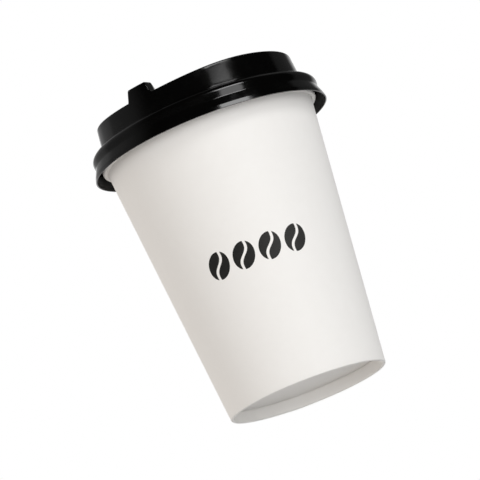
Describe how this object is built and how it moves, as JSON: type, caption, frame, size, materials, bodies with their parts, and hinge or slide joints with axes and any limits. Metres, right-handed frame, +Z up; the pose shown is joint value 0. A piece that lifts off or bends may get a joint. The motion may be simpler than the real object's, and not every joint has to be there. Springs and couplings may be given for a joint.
{
  "type": "paper coffee cup",
  "caption": "Tapered single-wall paper cup with a rolled rim and a recessed bottom disc, closed by a domed black travel lid with a raised sip spout.",
  "frame": {"origin": "centre of the ring that the cup stands on", "axes": "+Z up along the cup's axis, front towards -Y, sip spout about 30 degrees to the left of the front"},
  "size_m": [0.0976, 0.0976, 0.1313],
  "materials": {
    "paper": "matt uncoated outside",
    "lid_plastic": "gloss black"
  },
  "bodies": {
    "cup": {"cup_wall": "paper", "cup_base": "paper"},
    "lid": {"lid": "lid_plastic"}
  },
  "joints": [
    {"name": "lid_lift", "type": "slide", "parent": "cup", "child": "lid", "axis": [0, 0, 1], "range_m": [0, 0.04]}
  ]
}
